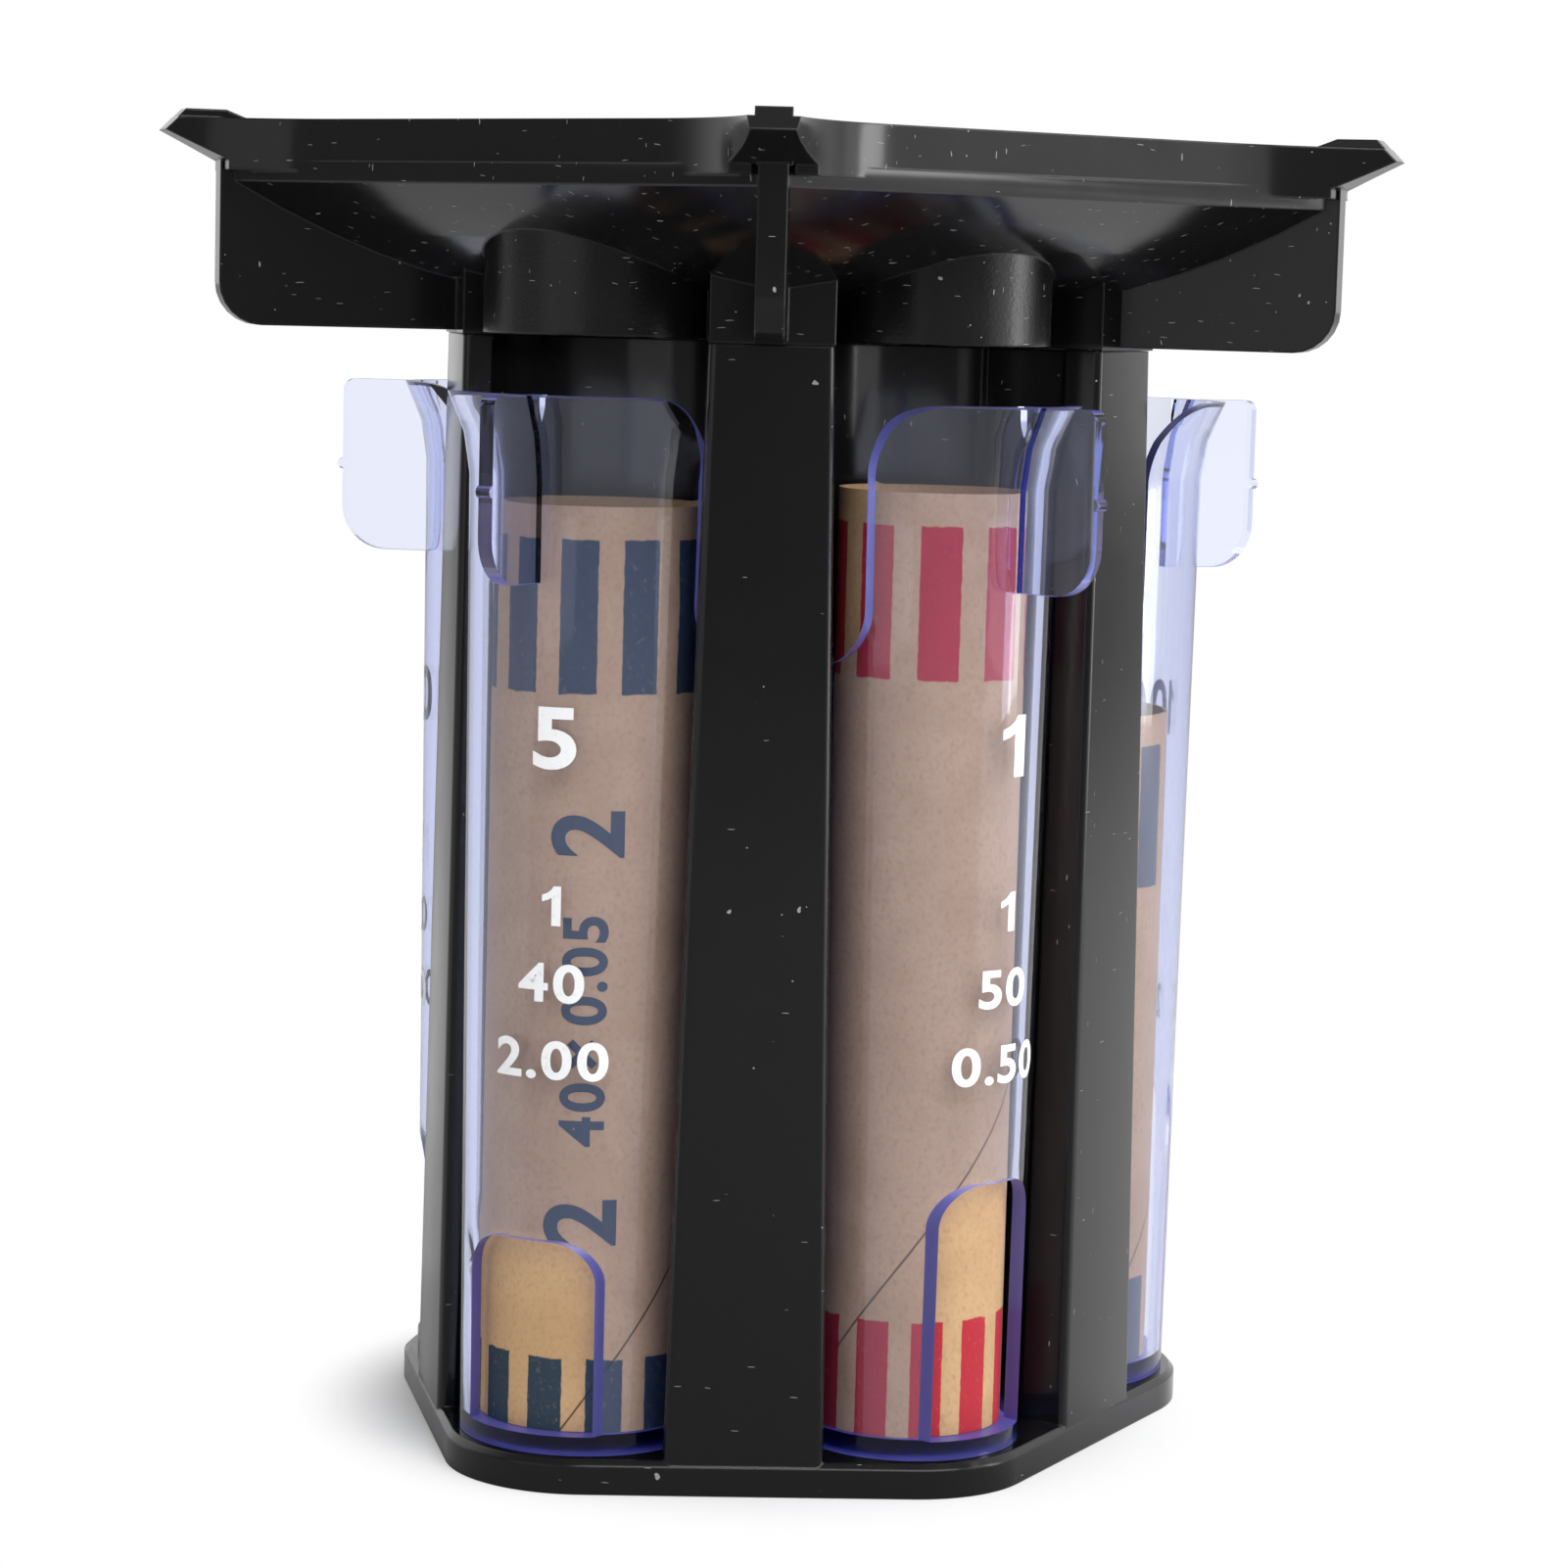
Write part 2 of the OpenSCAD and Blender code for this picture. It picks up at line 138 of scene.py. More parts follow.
# Collars: start above the stand and fade there, wall's distance outside the wrapper and its tolerance
COLLAR_FOOT = 0.2 * MM
COLLAR_FADE = 0.1 * MM
COLLAR_OUT = 1.6 * MM
COLLAR_BAND = 0.25 * MM

# Tubes: heights between which the pull tab starts, and how squarely a face of the wall or of an edge looks outwards
TAB_START = (60 * MM, 61 * MM)
WALL_FACING = 0.8
EDGE_FACING = 0.62
# Details per metre and stretch of the waves, haze and specks, with the specks' size and the share of bare cells
TUBE_STRETCH = (1, 1, 0.25)
TUBE_WAVE_SCALE = 120
HAZE_SCALE = 400
TUBE_SPECKS = (220, 0.035, 0.85)
# What haze, specks and edges do to the roughness, the waves' depth and strength, and the colour of a tube's shadow
HAZE_ROUGH = 0.03
SPECK_ROUGH = 0.3
TUBE_WAVE_DEPTH = 0.2 * MM
TUBE_WAVE_STRENGTH = 0.05
SHADOW_TINT = (0.86, 0.88, 0.96, 1)

# Bars: details per metre and depth of their ragged ends, the same along the round, and softness of ends and sides
RAGGED_SCALE = 900
RAGGED = 0.5 * MM
RAGGED_TURN = 80.0
BAR_SOFT = 0.1 * MM
BAR_EDGE = 0.012

# Paper: details per metre and stretch of the fibres, clouds and flecks, with the flecks' size and share of bare cells
PAPER_STRETCH = (1, 1, 0.8)
PAPER_FIBRE_SCALE = 2100
CLOUD_SCALE = 160
FLECKS = (420, 0.09, 0.8)
# Range of noise over which fibres, their finer part and clouds set in, and how much each of them colours
FIBRE_RANGE = (0.35, 0.75)
FINE_RANGE = (0.3, 0.8)
FINE_COVER = 0.5
CLOUD_RANGE = (0.35, 0.7)
CLOUD_COVER = 0.3
FLECK_COVER = 0.45
# Range of fibre noise over which the bars' ink thins out
INK_RANGE = (1.15, 0.55)
# Slanted lap: width of its dark line, heights above its point where it ends, line's colour and cover, paper's step
LAP_LINE = (0.32 * MM, 0.1 * MM)
LAP_END = (28 * MM, 20 * MM)
LAP_COLOUR = (0.09, 0.045, 0.02, 1)
LAP_COVER = 0.7
LAP_STEP = 0.08 * MM
# Relief of lap and fibres as depth and strength, roughness of bare paper, what ink takes off it, and specular level
LAP_RELIEF = (0.25 * MM, 0.8)
FIBRE_RELIEF = (0.12 * MM, 0.35)
PAPER_ROUGH = 0.86
INK_SMOOTHS = 0.14
PAPER_SPECULAR = 0.3

# Ink of the numbers: details per metre of its wear, range and shade of worn ink, roughness and its spread
WEAR_SCALE = 1800
WEAR_RANGE = (0.55, 0.8)
WORN_SHADE = 0.82
INK_ROUGH = 0.4
WEAR_ROUGH = 0.2

# Floor: sides, drop under the part, and where its mirrored front turns pale, towards the back and aside
FLOOR_SEGMENTS = 96
FLOOR_DROP = 0.05 * MM
MIRROR_FADE = (-0.03, 0.06)
MIRROR_ASIDE = 0.8
# Directions, from front to back, between which the reflected surroundings turn white
SKY_FADE = (-0.1, 0.5)
# Camera: width of the sensor in millimetres, nearest and farthest distance in metres
SENSOR_WIDTH = 36.0
CLIP = (0.01, 20.0)
# Soft lamps: place, aim, width, height and power in watts
LAMPS = {
    "left_softbox": ((-0.50, -0.66, 0.30), (0, 0, 0.07), 0.6, 0.7, 0.55),
    "right_softbox": ((0.78, -0.16, 0.28), (0, 0, 0.07), 0.75, 0.95, 1.9),
    "right_strip": ((0.68, -0.06, 0.26), (0, 0, 0.07), 0.15, 0.9, 2.2),
    "high_softbox": ((0.30, -0.58, 0.76), (0, 0, 0.06), 0.8, 0.5, 6.6),
}


class MouldingSettings(PropertyGroup):
    """Finish of the black mouldings"""
    black: FloatVectorProperty(name="Black", description="Colour of the moulded plastic", subtype="COLOR",
                               default=(0.0045, 0.0045, 0.005), min=0, max=1)
    dust: FloatVectorProperty(name="Dust", description="Colour of dust and fine scratches", subtype="COLOR",
                              default=(0.26, 0.255, 0.25), min=0, max=1)
    speck_scale: FloatProperty(name="Speck scale", description="Dust specks per metre, along one line",
                               default=800.0, min=1)
    stand_clean: FloatProperty(name="Clean stand", description="Share of the stand without specks",
                               subtype="FACTOR", default=0.86, min=0, max=0.99)
    tray_clean: FloatProperty(name="Clean tray", description="Share of the tray without specks", subtype="FACTOR",
                              default=0.42, min=0, max=0.99)
    roughness: FloatProperty(name="Roughness", description="Roughness of the polished faces", subtype="FACTOR",
                             default=0.16, min=0, max=1)
    collar_roughness: FloatProperty(name="Collar roughness", description="Roughness of the textured collars",
                                    subtype="FACTOR", default=0.28, min=0, max=1)
    edge_radius: FloatProperty(name="Edge radius", description="Softness of the moulded edges", unit="LENGTH",
                               default=0.35 * MM, min=0)
    smooth_angle: FloatProperty(name="Smooth angle", description="Edges flatter than this are shaded smooth",
                                subtype="ANGLE", default=math.radians(24))


class TubeSettings(PropertyGroup):
    """Finish of the clear tubes and their printed numbers"""
    absorption: FloatVectorProperty(name="Depth colour", description="Colour that a thick stretch of plastic takes",
                                    subtype="COLOR", default=(0.12, 0.25, 0.83), min=0, max=1)
    depth: FloatProperty(name="Depth density", description="How fast the plastic takes colour, per metre",
                         default=140.0, min=0)
    # Painted glow on the tubes' rims and cut edges: its indigo base colour and how much of an edge it covers
    edge: FloatVectorProperty(name="Edge colour", description="Colour of the light that leaves at the edges",
                              subtype="COLOR", default=(0.15, 0.14, 0.5), min=0, max=1)
    edge_cover: FloatProperty(name="Edge cover", description="How much of an edge shows that colour",
                              subtype="FACTOR", default=0.6, min=0, max=1)
    ior: FloatProperty(name="Index", description="Index of refraction of the plastic", default=1.52, min=1, max=2)
    roughness: FloatProperty(name="Roughness", description="Roughness of the tubes", subtype="FACTOR",
                             default=0.035, min=0, max=1)
    ink: FloatVectorProperty(name="Print", description="Colour of the printed numbers", subtype="COLOR",
                             default=(0.86, 0.87, 0.88), min=0, max=1)
    head_height: FloatProperty(name="Large number", description="Height of the number at the top", unit="LENGTH",
                               default=6.4 * MM)
    row_height: FloatProperty(name="Small numbers", description="Height of the other numbers", unit="LENGTH",
                              default=4.1 * MM)
    head_z: FloatProperty(name="Large number's place", description="Height of its middle above the floor",
                          unit="LENGTH", default=78.4 * MM)
    row_z: FloatProperty(name="Small numbers' place", description="Height of the upper one's middle",
                         unit="LENGTH", default=61.2 * MM)
    row_step: FloatProperty(name="Row step", description="Distance from one small number to the next",
                            unit="LENGTH", default=8.0 * MM)


class WrapperSettings(PropertyGroup):
    """Finish of the paper wrappers and their print"""
    kraft: FloatVectorProperty(name="Kraft", description="Colour of the paper", subtype="COLOR",
                               default=(0.54, 0.35, 0.19), min=0, max=1)
    fibre: FloatVectorProperty(name="Fibres", description="Colour of the paper's darker fibres", subtype="COLOR",
                               default=(0.36, 0.21, 0.10), min=0, max=1)
    penny_ink: FloatVectorProperty(name="One cent ink", description="Colour of the bars", subtype="COLOR",
                                   default=(0.42, 0.02, 0.035), min=0, max=1)
    dollar_ink: FloatVectorProperty(name="One dollar ink", description="Colour of the bars", subtype="COLOR",
                                    default=(0.09, 0.095, 0.11), min=0, max=1)
    quarter_ink: FloatVectorProperty(name="Twenty-five cent ink", description="Colour of the bars", subtype="COLOR",
                                     default=(0.62, 0.16, 0.02), min=0, max=1)
    dime_ink: FloatVectorProperty(name="Ten cent ink", description="Colour of the bars", subtype="COLOR",
                                  default=(0.015, 0.17, 0.06), min=0, max=1)
    nickel_ink: FloatVectorProperty(name="Five cent ink", description="Colour of the bars", subtype="COLOR",
                                    default=(0.024, 0.045, 0.07), min=0, max=1)
    bar_share: FloatProperty(name="Bar width", description="Share of the round that the bars cover",
                             subtype="FACTOR", default=0.6, min=0, max=1)
    bar_margin: FloatProperty(name="Margin", description="Bare paper above the top bars", unit="LENGTH",
                              default=3.4 * MM)
    top_bar: FloatProperty(name="Top bars", description="Length of the top bars", unit="LENGTH", default=15.8 * MM)
    lap_slope: FloatProperty(name="Lap slope", description="Rise of the paper's slanted lap per length round",
                             default=1.42)
    sum_height: FloatProperty(name="Large numbers", description="Height of the numbers at both ends",
                              unit="LENGTH", default=7.4 * MM)
    line_height: FloatProperty(name="Small numbers", description="Height of the line between them",
                               unit="LENGTH", default=4.6 * MM)
    low_sum_z: FloatProperty(name="Lower number's place", description="Height of its middle", unit="LENGTH",
                             default=28.0 * MM)
    line_z: FloatProperty(name="Line's place", description="Height of its middle", unit="LENGTH",
                          default=48.0 * MM)
    high_sum_z: FloatProperty(name="Upper number's place", description="Height of its middle", unit="LENGTH",
                              default=68.5 * MM)


class StageSettings(PropertyGroup):
    """Floor, light and camera"""
    floor: FloatVectorProperty(name="Floor", description="Colour of the floor", subtype="COLOR",
                               default=(0.9, 0.9, 0.9), min=0, max=1)
    floor_gloss: FloatVectorProperty(name="Floor in gloss", description="Colour of its front as polish mirrors it",
                                     subtype="COLOR", default=(0.3, 0.3, 0.3), min=0, max=1)
    floor_radius: FloatProperty(name="Floor radius", description="Radius of the round floor", unit="LENGTH",
                                default=3.0)
    fade_start: FloatProperty(name="Fade start", description="Distance where the floor starts to turn white",
                              unit="LENGTH", default=0.036)
    fade_end: FloatProperty(name="Fade end", description="Distance where the floor is quite white",
                            unit="LENGTH", default=0.052)
    ambient: FloatProperty(name="Ambient", description="Light of the surroundings", default=0.42, min=0)
    front_glow: FloatProperty(name="Front reflections", description="Brightness that gloss sees towards the viewer",
                              default=0.2, min=0)
    camera_distance: FloatProperty(name="Camera distance", description="Distance from the stand's axis",
                                   unit="LENGTH", default=466.96 * MM)
    camera_height: FloatProperty(name="Camera height", description="Height above the floor", unit="LENGTH",
                                 default=124.7 * MM)
    camera_turn: FloatProperty(name="Camera turn", description="Turn of the camera round the stand",
                               subtype="ANGLE", default=0.0148)
    camera_yaw: FloatProperty(name="Yaw", description="Camera's aim to the right", subtype="ANGLE", default=0.0041)
    camera_pitch: FloatProperty(name="Pitch", description="Camera's aim upwards", subtype="ANGLE", default=-0.1165)
    camera_roll: FloatProperty(name="Roll", description="Camera's roll", subtype="ANGLE", default=0.027)
    camera_lens: FloatProperty(name="Lens", description="Focal length on a 36 mm sensor, in millimetres",
                               default=97.66, min=1)


class Finish:
    """One node tree, with short calls for the nodes that the finishes share."""

    def __init__(self, name):
        self.material = bpy.data.materials.new(name)
        self.material.use_nodes = True
        self.tree = self.material.node_tree
        self.tree.nodes.clear()
        self.output = self.tree.nodes.new("ShaderNodeOutputMaterial")

    def feed(self, socket, value):
        if isinstance(value, bpy.types.NodeSocket):
            self.tree.links.new(value, socket)
        else:
            socket.default_value = value

    def node(self, kind, inputs, **settings):
        made = self.tree.nodes.new(kind)
        for key, value in settings.items():
            setattr(made, key, value)
        for key, value in inputs.items():
            self.feed(made.inputs[key], value)
        return made

    def place(self):
        return self.tree.nodes.new("ShaderNodeTexCoord").outputs["Object"]

    def maths(self, operation, first, second=0.0):
        return self.node("ShaderNodeMath", {0: first, 1: second}, operation=operation).outputs[0]

    def spread(self, value, width, middle):
        """A value from 0 to 1, spread over a width round a middle"""
        return self.maths("ADD", self.maths("MULTIPLY", value, width), middle - width / 2)

    def vector(self, operation, first, second=None, result="Vector"):
        inputs = {0: first} if second is None else {0: first, 1: second}
        return self.node("ShaderNodeVectorMath", inputs, operation=operation).outputs[result]

    def off_axis(self, place, axis):
        """Way in plan from an upright axis"""
        return self.vector("MULTIPLY", self.vector("SUBTRACT", place, axis), (1, 1, 0))

    def ramp(self, value, low, high):
        """0 at low and 1 at high, smooth between them"""
        inputs = {"Value": value, "From Min": low, "From Max": high}
        return self.node("ShaderNodeMapRange", inputs, interpolation_type="SMOOTHSTEP").outputs["Result"]

    def blend(self, share, first, second):
        inputs = {"Factor": share, 6: first, 7: second}
        return self.node("ShaderNodeMix", inputs, data_type="RGBA").outputs[2]

    def noise(self, vector, scale, detail=2.0):
        return self.node("ShaderNodeTexNoise", {"Vector": vector, "Scale": scale, "Detail": detail}).outputs["Fac"]

    def stretched(self, vector, scale, turn=(0, 0, 0)):
        return self.node("ShaderNodeMapping", {"Vector": vector, "Scale": scale, "Rotation": turn}).outputs["Vector"]

    def cells(self, vector, scale, largest, rarity):
        """Small marks, one in some cells: rarity is the share of cells that stay bare"""
        made = self.node("ShaderNodeTexVoronoi", {"Vector": vector, "Scale": scale})
        chance = self.node("ShaderNodeSeparateColor", {"Color": made.outputs["Color"]}).outputs[0]
        size = self.maths("MULTIPLY", self.ramp(chance, rarity, 1.0), largest)
        return self.maths("LESS_THAN", made.outputs["Distance"], size)

    def bump(self, height, distance, strength, normal=None):
        inputs = {"Height": height, "Distance": distance, "Strength": strength}
        if normal is not None:
            inputs["Normal"] = normal
        return self.node("ShaderNodeBump", inputs).outputs["Normal"]

    def surface(self, shader):
        self.tree.links.new(shader, self.output.inputs["Surface"])


def colour(rgb):
    return (rgb[0], rgb[1], rgb[2], 1.0)


def dress(node, material):
    """Gives a CAD node its finish, in every slot that it has."""
    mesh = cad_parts[node].data
    if not mesh.materials:
        mesh.materials.append(material)
    for slot in range(len(mesh.materials)):
        mesh.materials[slot] = material


def axis_of(coin):
    """Axis of a tube in plan, and the radius of its wrapper."""
    low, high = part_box(f"{coin}_wrapper")
    return Vector(((low.x + high.x) / 2, (low.y + high.y) / 2, 0)), (high.x - low.x) / 2


def soft_shading(angle):
    """Node group that shades flat facets of one round face as smooth."""
    group = bpy.data.node_groups.new("moulded_shading", "GeometryNodeTree")
    group.interface.new_socket("Geometry", in_out="INPUT", socket_type="NodeSocketGeometry")
    group.interface.new_socket("Geometry", in_out="OUTPUT", socket_type="NodeSocketGeometry")
    came = group.nodes.new("NodeGroupInput")
    bare = group.nodes.new("GeometryNodeRemoveAttribute")
    bare.inputs["Name"].default_value = "custom_normal"
    weld = group.nodes.new("GeometryNodeMergeByDistance")
    weld.inputs["Distance"].default_value = WELD
    bend = group.nodes.new("GeometryNodeInputMeshEdgeAngle")
    flat = group.nodes.new("FunctionNodeCompare")
    flat.operation = "LESS_THAN"
    flat.inputs["B"].default_value = angle
    edges = group.nodes.new("GeometryNodeSetShadeSmooth")
    edges.domain = "EDGE"
    faces = group.nodes.new("GeometryNodeSetShadeSmooth")
    left = group.nodes.new("NodeGroupOutput")
    link = group.links.new
    link(came.outputs[0], bare.inputs["Geometry"])
    link(bare.outputs["Geometry"], weld.inputs["Geometry"])
    link(weld.outputs["Geometry"], edges.inputs["Geometry"])
    link(bend.outputs["Unsigned Angle"], flat.inputs["A"])
    link(flat.outputs["Result"], edges.inputs["Shade Smooth"])
    link(edges.outputs["Geometry"], faces.inputs["Geometry"])
    link(faces.outputs["Geometry"], left.inputs[0])
    return group


def shade(nodes, angle):
    group = soft_shading(angle)
    for node in nodes:
        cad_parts[node].modifiers.new("moulded_shading", "NODES").node_group = group


def collar_share(finish, place):
    """1 on the round collars under the bowl, 0 elsewhere."""
    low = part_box("tower")[1].z + COLLAR_FOOT
    found = 0.0
    for coin in COINS:
        axis, radius = axis_of(coin)
        span = finish.vector("LENGTH", finish.off_axis(place, axis), result="Value")
        wall = finish.maths("COMPARE", span, radius + COLLAR_OUT)
        wall.node.inputs[2].default_value = COLLAR_BAND
        found = finish.maths("MAXIMUM", wall, found)
    height = finish.node("ShaderNodeSeparateXYZ", {0: place}).outputs["Z"]
    return finish.maths("MULTIPLY", found, finish.ramp(height, low, low + COLLAR_FADE))


def black_plastic(name, settings, clean, collars):
    """Polished black moulding with slight waviness, dust specks and lint: clean is the share without dust."""
    finish = Finish(name)
    place = finish.place()
    waves = finish.noise(place, WAVE_SCALE)
    smudge = finish.noise(place, SMUDGE_SCALE, 4.0)
    grain = finish.noise(place, GRAIN_SCALE, 3.0)
    specks = finish.cells(place, settings.speck_scale, SPECK_SIZE, clean)
    bent = finish.node("ShaderNodeVectorMath", {0: finish.noise(place, BEND_SCALE), 1: FIBRE_BEND, 2: place},
                       operation="MULTIPLY_ADD").outputs[0]
    lint, hairs = [
        finish.cells(finish.stretched(bent, scale, turn), 1.0, FIBRE_SIZE, clean) for scale, turn in FIBRES
    ]
    dust = finish.maths("MAXIMUM", specks, finish.maths("MAXIMUM", lint, hairs))
    matte = collar_share(finish, place) if collars else 0.0
    rough = finish.spread(smudge, SMUDGE_ROUGH, settings.roughness)
    gap = settings.collar_roughness - settings.roughness
    rough = finish.maths("ADD", rough, finish.maths("MULTIPLY", matte, gap))
    rough = finish.maths("ADD", rough, finish.maths("MULTIPLY", dust, DUST_ROUGH))
    edge = finish.node("ShaderNodeBevel", {"Radius": settings.edge_radius}, samples=EDGE_SAMPLES).outputs["Normal"]
    normal = finish.bump(waves, WAVE_DEPTH, WAVE_STRENGTH, edge)
    texture = finish.maths("ADD", finish.maths("MULTIPLY", matte, COLLAR_GRAIN), POLISH_GRAIN)
    normal = finish.bump(grain, GRAIN_DEPTH, texture, normal)
    skin = finish.node("ShaderNodeBsdfPrincipled", {
        "Base Color": finish.blend(dust, colour(settings.black), colour(settings.dust)),
        "Roughness": rough,
        "Normal": normal,
        "IOR": BLACK_IOR,
    })
    finish.surface(skin.outputs["BSDF"])
    return finish.material


def cut_edges(finish, place, coin):
    """1 on the rims and cut edges of a tube, 0 on its round wall and on the faces of its pull tab."""
    axis, _ = axis_of(coin)
    across = math.radians(TUBE_AZ[coin] + TUBE_TURN + 90)
    radial = finish.vector("NORMALIZE", finish.off_axis(place, axis))
    normal = finish.tree.nodes.new("ShaderNodeNewGeometry").outputs["True Normal"]
    wall = finish.vector("DOT_PRODUCT", normal, radial, "Value")
    plate = finish.vector("DOT_PRODUCT", normal, (math.cos(across), math.sin(across), 0), "Value")
    height = finish.node("ShaderNodeSeparateXYZ", {0: place}).outputs["Z"]
    plate = finish.maths("MULTIPLY", finish.maths("ABSOLUTE", plate), finish.ramp(height, *TAB_START))
    facing = finish.maths("MAXIMUM", finish.maths("ABSOLUTE", wall), plate)
    return finish.ramp(facing, WALL_FACING, EDGE_FACING)


def clear_plastic(coin, settings):
    """Clear plastic that takes an indigo tint with depth, with a painted indigo glow along its rims and cut edges."""
    finish = Finish(f"{coin}_clear_plastic")
    place = finish.place()
    edges = cut_edges(finish, place, coin)
    waves = finish.noise(finish.stretched(place, TUBE_STRETCH), TUBE_WAVE_SCALE)
    haze = finish.noise(place, HAZE_SCALE, 3.0)
    specks = finish.cells(place, *TUBE_SPECKS)
    rough = finish.spread(haze, HAZE_ROUGH, settings.roughness)
    marks = finish.maths("MAXIMUM", specks, edges)
    rough = finish.maths("ADD", rough, finish.maths("MULTIPLY", marks, SPECK_ROUGH))
    body = finish.node("ShaderNodeBsdfPrincipled", {
        # Painted glow: rims and cut edges get an indigo base colour and less transmission
        "Base Color": finish.blend(edges, WHITE, colour(settings.edge)),
        "Roughness": rough,
        "IOR": settings.ior,
        "Transmission Weight": finish.maths("SUBTRACT", 1.0, finish.maths("MULTIPLY", edges, settings.edge_cover)),
        "Normal": finish.bump(waves, TUBE_WAVE_DEPTH, TUBE_WAVE_STRENGTH),
    })
    passing = finish.node("ShaderNodeBsdfTransparent", {"Color": SHADOW_TINT})
    ray = finish.tree.nodes.new("ShaderNodeLightPath")
    mixed = finish.node("ShaderNodeMixShader", {
        0: ray.outputs["Is Shadow Ray"], 1: body.outputs["BSDF"], 2: passing.outputs["BSDF"],
    })
    finish.surface(mixed.outputs[0])
    tint = finish.node("ShaderNodeVolumeAbsorption", {
        "Color": colour(settings.absorption), "Density": settings.depth,
    })
    finish.tree.links.new(tint.outputs["Volume"], finish.output.inputs["Volume"])
    return finish.material


def printed_bars(finish, coin, settings, turn, height):
    """1 on the printed bars at a wrapper's two ends, 0 elsewhere."""
    low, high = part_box(f"{coin}_wrapper")
    uneven = finish.maths("SUBTRACT", finish.noise(finish.place(), RAGGED_SCALE), 0.5)
    ragged = finish.maths("MULTIPLY", uneven, RAGGED)
    height = finish.maths("ADD", height, ragged)
    top = high.z - settings.bar_margin
    bands = (
        (top - settings.top_bar, top),
        (low.z - LOW_BAR[coin], low.z + LOW_BAR[coin]),
    )
    half = settings.bar_share / 2
    found = 0.0
    for (start, end), middle, count in zip(bands, BAR_AZ[coin], BAR_COUNT[coin]):
        steps = finish.maths("SUBTRACT", turn, math.radians(middle))
        steps = finish.maths("MULTIPLY", steps, count / math.tau)
        steps = finish.maths("ADD", steps, finish.maths("MULTIPLY", ragged, RAGGED_TURN))
        off = finish.maths("ABSOLUTE", finish.maths("SUBTRACT", steps, finish.maths("ROUND", steps)))
        bar = finish.ramp(off, half + BAR_EDGE, half - BAR_EDGE)
        band = finish.maths("MULTIPLY", finish.ramp(height, start - BAR_SOFT, start + BAR_SOFT),
                            finish.ramp(height, end + BAR_SOFT, end - BAR_SOFT))
        found = finish.maths("MAXIMUM", finish.maths("MULTIPLY", bar, band), found)
    return found


def kraft_paper(coin, settings, ink):
    """Rolled kraft paper with fibres, a slanted lap and printed bars at both ends."""
    finish = Finish(f"{coin}_kraft_paper")
    axis, radius = axis_of(coin)
    place = finish.place()
    parts = finish.node("ShaderNodeSeparateXYZ", {0: finish.vector("SUBTRACT", place, axis)})
    turn = finish.maths("ARCTAN2", parts.outputs["Y"], parts.outputs["X"])
    height = parts.outputs["Z"]
    kraft, fibre = colour(settings.kraft), colour(settings.fibre)
    fibres = finish.noise(finish.stretched(place, PAPER_STRETCH), PAPER_FIBRE_SCALE, 5.0)
    clouds = finish.noise(place, CLOUD_SCALE, 3.0)
    flecks = finish.cells(place, *FLECKS)
    paper = finish.blend(finish.ramp(fibres, *FIBRE_RANGE), kraft, fibre)
    fine = finish.maths("MULTIPLY", finish.ramp(fibres, *FINE_RANGE), FINE_COVER)
    paper = finish.blend(fine, kraft, paper)
    cloudy = finish.maths("MULTIPLY", finish.ramp(clouds, *CLOUD_RANGE), CLOUD_COVER)
    paper = finish.blend(cloudy, paper, fibre)
    paper = finish.blend(finish.maths("MULTIPLY", flecks, FLECK_COVER), paper, fibre)
    lap_az, lap_z = LAP_POINT[coin]
    run = finish.maths("MULTIPLY", finish.maths("SUBTRACT", turn, math.radians(lap_az)), radius * settings.lap_slope)
    off = finish.maths("SUBTRACT", finish.maths("SUBTRACT", height, lap_z), run)
    line = finish.ramp(finish.maths("ABSOLUTE", off), *LAP_LINE)
    low_part = finish.ramp(height, *[lap_z + end for end in LAP_END])
    line = finish.maths("MULTIPLY", line, low_part)
    paper = finish.blend(finish.maths("MULTIPLY", line, LAP_COVER), paper, LAP_COLOUR)
    bars = printed_bars(finish, coin, settings, turn, height)
    cover = finish.maths("MULTIPLY", bars, finish.ramp(fibres, *INK_RANGE))
    paper = finish.blend(cover, paper, colour(ink))
    step = finish.maths("MULTIPLY", finish.ramp(off, -LAP_STEP, LAP_STEP), low_part)
    normal = finish.bump(step, *LAP_RELIEF)
    normal = finish.bump(fibres, *FIBRE_RELIEF, normal)
    sheet = finish.node("ShaderNodeBsdfPrincipled", {
        "Base Color": paper,
        "Roughness": finish.maths("SUBTRACT", PAPER_ROUGH, finish.maths("MULTIPLY", bars, INK_SMOOTHS)),
        "Normal": normal,
        "Specular IOR Level": PAPER_SPECULAR,
    })
    finish.surface(sheet.outputs["BSDF"])
    return finish.material


def printing_ink(name, ink):
    """Printing ink that is a little darker and rougher where it is worn."""
    finish = Finish(name)
    wear = finish.noise(finish.place(), WEAR_SCALE, 4.0)
    dim = colour([channel * WORN_SHADE for channel in ink])
    film = finish.node("ShaderNodeBsdfPrincipled", {
        "Base Color": finish.blend(finish.ramp(wear, *WEAR_RANGE), colour(ink), dim),
        "Roughness": finish.maths("ADD", finish.maths("MULTIPLY", wear, WEAR_ROUGH), INK_ROUGH),
    })
    finish.surface(film.outputs["BSDF"])
    return finish.material


def figure(character):
    """Outline of one figure, filled and slightly thick; the built-in font's bare stroke for 1 gets its own outline."""
    if character == "1":
        curve = bpy.data.curves.new("figure", "CURVE")
        curve.dimensions = "2D"
        outline = curve.splines.new("POLY")
        outline.points.add(len(FIGURE_ONE) - 1)
        outline.use_cyclic_u = True
        for point, (x, y) in zip(outline.points, FIGURE_ONE):
            point.co = (x, y, 0, 1)
        curve.fill_mode = "BOTH"
    else:
        curve = bpy.data.curves.new("figure", "FONT")
        curve.body = character
        curve.offset = BOLDNESS
        curve.resolution_u = FIGURE_STEPS
    curve.extrude = FIGURE_HALF
    return curve


